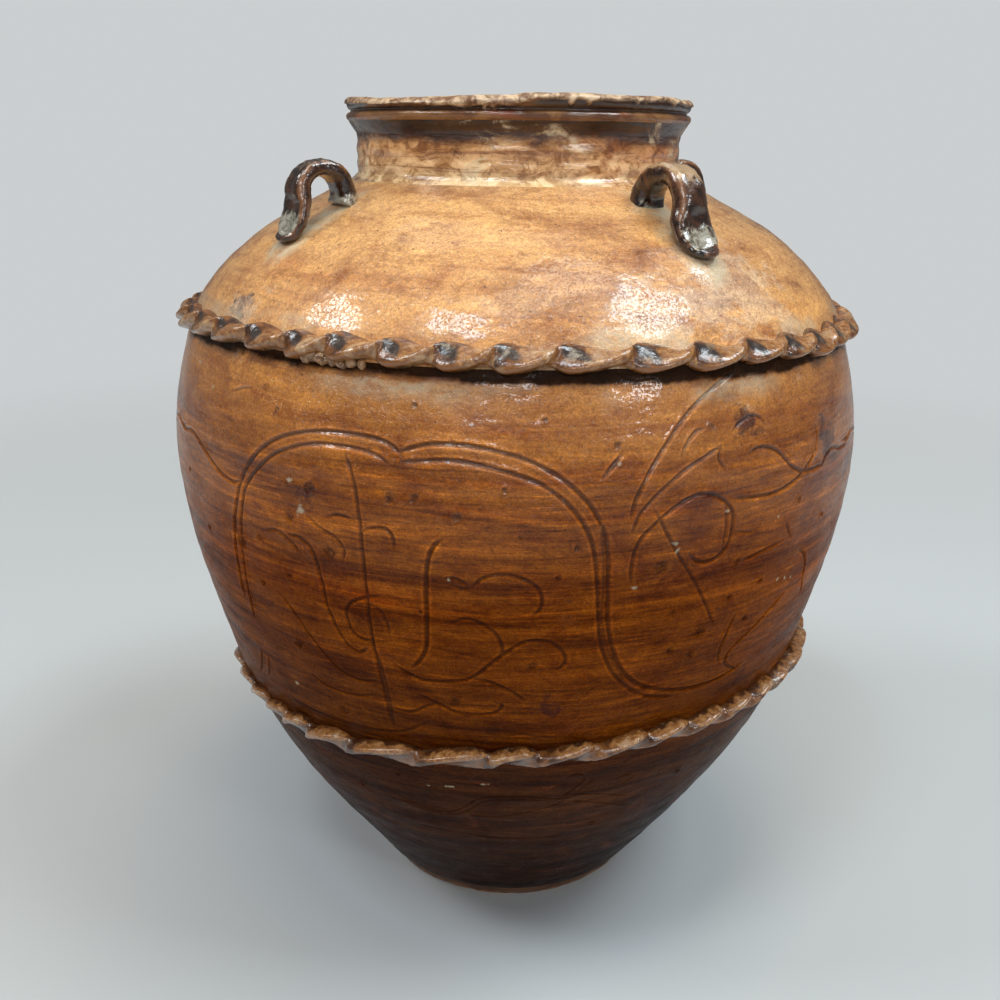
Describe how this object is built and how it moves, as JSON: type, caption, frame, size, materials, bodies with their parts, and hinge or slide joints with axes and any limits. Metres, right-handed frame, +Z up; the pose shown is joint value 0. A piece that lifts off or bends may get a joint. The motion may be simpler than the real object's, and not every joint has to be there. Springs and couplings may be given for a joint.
{
  "type": "martaban jar",
  "caption": "Wide-shouldered glazed stoneware storage jar with a short collar, a beaded lip, twisted clay ropes round its joints and strap lugs on the shoulder.",
  "frame": {"origin": "centre of the foot, on the surface that the jar stands on", "axes": "+Z up along the jar's axis, out of the mouth; -Y towards the side with the incised ornament, which the picture shows; +X to the right of it"},
  "size_m": [0.3982, 0.3982, 0.473],
  "materials": {
    "foot_glaze": "glossy dark brown glaze",
    "belly_glaze": "glossy streaked brown glaze",
    "shoulder_glaze": "glossy amber glaze",
    "collar_glaze": "glossy patchy brown glaze",
    "lip_glaze": "dark brown glaze, worn along the edge",
    "rope_glaze": "glossy tan glaze, dark in the hollows",
    "lug_glaze": "glossy black-brown glaze"
  },
  "bodies": {
    "root": {"base_slab": "foot_glaze", "lower_wall": "foot_glaze", "belly_wall": "belly_glaze", "shoulder_wall": "shoulder_glaze", "neck_collar": "collar_glaze", "lip_ring": "lip_glaze", "lower_rope_band": "rope_glaze", "upper_rope_band": "rope_glaze", "lug_front_left": "lug_glaze", "lug_front_right": "lug_glaze", "lug_back_right": "lug_glaze", "lug_back_left": "lug_glaze"}
  },
  "joints": []
}
